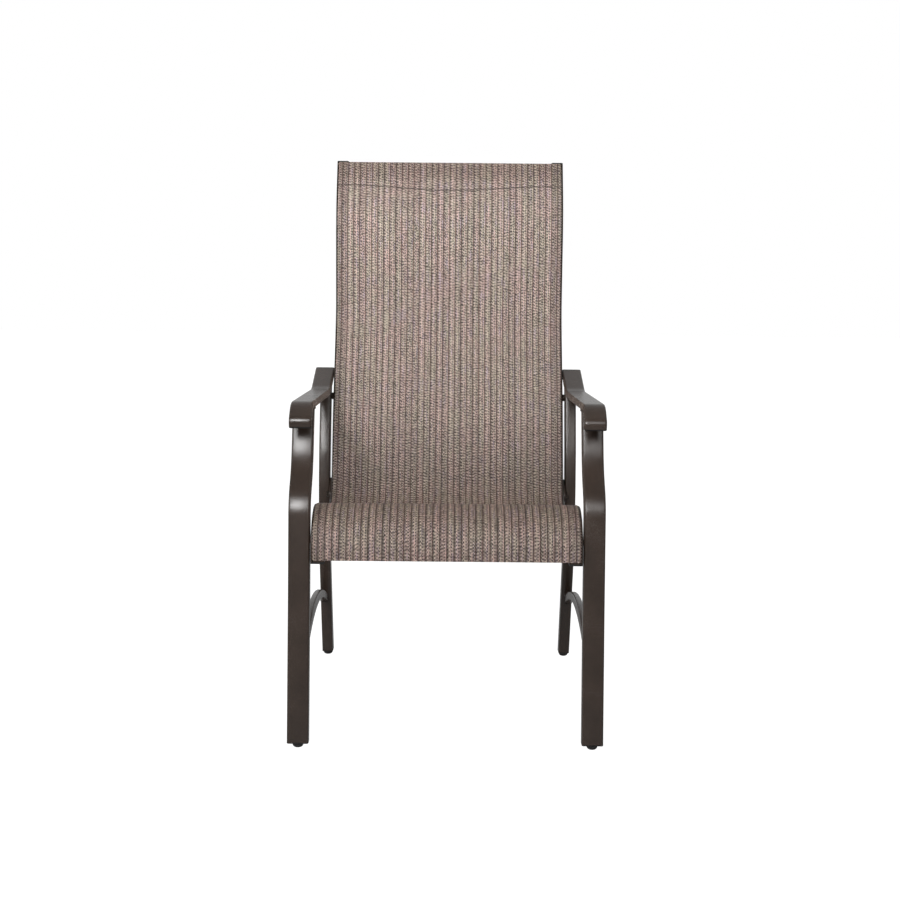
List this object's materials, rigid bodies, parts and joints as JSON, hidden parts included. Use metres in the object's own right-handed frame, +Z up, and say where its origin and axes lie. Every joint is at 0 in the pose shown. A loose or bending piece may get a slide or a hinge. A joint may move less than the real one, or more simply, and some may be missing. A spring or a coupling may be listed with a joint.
{
  "type": "sling patio chair",
  "caption": "High-back outdoor armchair: one stretched fabric sling forms seat and back between two curved rails on flared metal side frames with rolled arms.",
  "frame": {"origin": "on the floor under the middle of the chair's outer box", "axes": "+X to the right as seen from the front, the sitter faces -Y, +Z up"},
  "size_m": [0.599, 0.7742, 1.1287],
  "materials": {
    "frame": "satin dark bronze powder coat on extruded tube",
    "rail": "satin dark bronze powder coat on extruded rail",
    "fabric": "woven vinyl-coated yarn with narrow taupe, tan and brown stripes",
    "plastic": "moulded, matt black",
    "cord": "extruded rod",
    "steel": "plain zinc plated"
  },
  "bodies": {
    "frame": {"arm_cap_front_left": "plastic", "arm_cap_front_right": "plastic", "arm_cap_rear_left": "plastic", "arm_cap_rear_right": "plastic", "arm_left": "frame", "arm_right": "frame", "front_leg_left": "frame", "front_leg_plug_left": "plastic", "front_leg_plug_right": "plastic", "front_leg_right": "frame", "hem_rod_left": "cord", "hem_rod_right": "cord", "rail_bolt_front_left": "steel", "rail_bolt_front_right": "steel", "rail_bolt_rear_lower_left": "steel", "rail_bolt_rear_lower_right": "steel", "rail_bolt_rear_upper_left": "steel", "rail_bolt_rear_upper_right": "steel", "rail_bracket_left": "frame", "rail_bracket_right": "frame", "rail_cap_front_left": "plastic", "rail_cap_front_right": "plastic", "rail_cap_top_left": "plastic", "rail_cap_top_right": "plastic", "rail_nut_front_left": "steel", "rail_nut_front_right": "steel", "rail_nut_rear_lower_left": "steel", "rail_nut_rear_lower_right": "steel", "rail_nut_rear_upper_left": "steel", "rail_nut_rear_upper_right": "steel", "rail_spacer_front_left": "steel", "rail_spacer_front_right": "steel", "rail_spacer_rear_left": "steel", "rail_spacer_rear_right": "steel", "rear_leg_left": "frame", "rear_leg_plug_left": "plastic", "rear_leg_plug_right": "plastic", "rear_leg_right": "frame", "side_stretcher_left": "frame", "side_stretcher_right": "frame", "sling": "fabric", "sling_rail_left": "rail", "sling_rail_right": "rail", "spreader_back_top": "rail", "spreader_screw_back_top_left": "steel", "spreader_screw_back_top_right": "steel", "spreader_screw_seat_front_left": "steel", "spreader_screw_seat_front_right": "steel", "spreader_screw_seat_rear_left": "steel", "spreader_screw_seat_rear_right": "steel", "spreader_seat_front": "rail", "spreader_seat_rear": "rail"},
    "front_foot_left": {"front_leg_glide_left": "plastic"},
    "front_foot_right": {"front_leg_glide_right": "plastic"},
    "rear_foot_left": {"rear_leg_glide_left": "plastic"},
    "rear_foot_right": {"rear_leg_glide_right": "plastic"}
  },
  "joints": [
    {"name": "front_foot_left_levelling", "type": "slide", "parent": "frame", "child": "front_foot_left", "axis": [0, 0, -1], "range_m": [0, 0.008]},
    {"name": "front_foot_right_levelling", "type": "slide", "parent": "frame", "child": "front_foot_right", "axis": [0, 0, -1], "range_m": [0, 0.008]},
    {"name": "rear_foot_left_levelling", "type": "slide", "parent": "frame", "child": "rear_foot_left", "axis": [0, 0, -1], "range_m": [0, 0.008]},
    {"name": "rear_foot_right_levelling", "type": "slide", "parent": "frame", "child": "rear_foot_right", "axis": [0, 0, -1], "range_m": [0, 0.008]}
  ]
}
